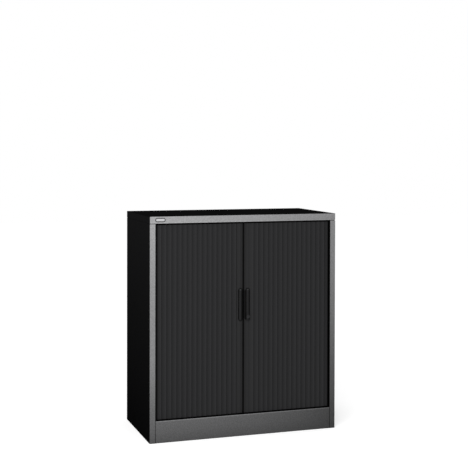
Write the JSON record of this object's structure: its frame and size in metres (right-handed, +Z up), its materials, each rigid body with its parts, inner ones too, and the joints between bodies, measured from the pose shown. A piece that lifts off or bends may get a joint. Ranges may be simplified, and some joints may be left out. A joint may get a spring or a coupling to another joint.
{
  "type": "roll front cabinet",
  "caption": "Low steel roll front cabinet whose slatted curtains part at the middle and run round the front corners, over adjustable shelves.",
  "frame": {"origin": "middle of the footprint, at floor level", "axes": "+Z up, the front with the curtains faces -Y, +X to the right of someone facing the front"},
  "size_m": [0.9, 0.46, 1.016],
  "materials": {
    "carcass_paint": "textured satin",
    "slat_plastic": "satin",
    "black_plastic": "matt",
    "handle_plastic": "satin",
    "zinc_steel": "zinc plated",
    "lock_metal": "polished",
    "badge_metal": "satin",
    "rubber_pad": "matt"
  },
  "bodies": {
    "cabinet": {"back_left_foot_bracket": "carcass_paint", "back_left_foot_nut": "zinc_steel", "back_panel": "carcass_paint", "back_right_foot_bracket": "carcass_paint", "back_right_foot_nut": "zinc_steel", "back_rivets": "zinc_steel", "badge_plate": "badge_metal", "ceiling_panel": "carcass_paint", "floor_panel": "carcass_paint", "front_left_foot_bracket": "carcass_paint", "front_left_foot_nut": "zinc_steel", "front_plinth": "carcass_paint", "front_right_foot_bracket": "carcass_paint", "front_right_foot_nut": "zinc_steel", "left_bottom_track": "black_plastic", "left_corner_slats": "slat_plastic", "left_curtain": "slat_plastic", "left_inner_liner": "carcass_paint", "left_side_panel": "carcass_paint", "left_top_track": "black_plastic", "lower_shelf": "carcass_paint", "lower_shelf_clips": "zinc_steel", "right_bottom_track": "black_plastic", "right_corner_slats": "slat_plastic", "right_curtain": "slat_plastic", "right_inner_liner": "carcass_paint", "right_side_panel": "carcass_paint", "right_top_track": "black_plastic", "top_panel": "carcass_paint", "track_stops": "black_plastic", "upper_shelf": "carcass_paint", "upper_shelf_clips": "zinc_steel"},
    "left_door": {"left_lead_slat": "slat_plastic", "left_handle": "handle_plastic", "left_handle_screws": "zinc_steel", "lock_keeper": "zinc_steel"},
    "right_door": {"right_lead_slat": "slat_plastic", "right_handle": "handle_plastic", "right_handle_screws": "zinc_steel"},
    "lock": {"lock_barrel": "lock_metal", "lock_hook": "zinc_steel", "lock_nut": "zinc_steel"},
    "front_left_foot": {"front_left_foot_pad": "rubber_pad", "front_left_foot_stem": "zinc_steel"},
    "front_right_foot": {"front_right_foot_pad": "rubber_pad", "front_right_foot_stem": "zinc_steel"},
    "back_left_foot": {"back_left_foot_pad": "rubber_pad", "back_left_foot_stem": "zinc_steel"},
    "back_right_foot": {"back_right_foot_pad": "rubber_pad", "back_right_foot_stem": "zinc_steel"}
  },
  "joints": [
    {"name": "left_door_slide", "type": "slide", "parent": "cabinet", "child": "left_door", "axis": [-1, 0, 0], "range_m": [0, 0.362], "deforming": ["left_curtain"]},
    {"name": "right_door_slide", "type": "slide", "parent": "cabinet", "child": "right_door", "axis": [1, 0, 0], "range_m": [0, 0.362], "deforming": ["right_curtain"]},
    {"name": "lock_turn", "type": "hinge", "parent": "right_door", "child": "lock", "pos_m": [0.01545, -0.22, 0.54785], "axis": [0, 1, 0], "range_deg": [0, 90]},
    {"name": "front_left_foot_adjust", "type": "slide", "parent": "cabinet", "child": "front_left_foot", "axis": [0, 0, -1], "range_m": [0, 0.02]},
    {"name": "front_right_foot_adjust", "type": "slide", "parent": "cabinet", "child": "front_right_foot", "axis": [0, 0, -1], "range_m": [0, 0.02]},
    {"name": "back_left_foot_adjust", "type": "slide", "parent": "cabinet", "child": "back_left_foot", "axis": [0, 0, -1], "range_m": [0, 0.02]},
    {"name": "back_right_foot_adjust", "type": "slide", "parent": "cabinet", "child": "back_right_foot", "axis": [0, 0, -1], "range_m": [0, 0.02]}
  ]
}
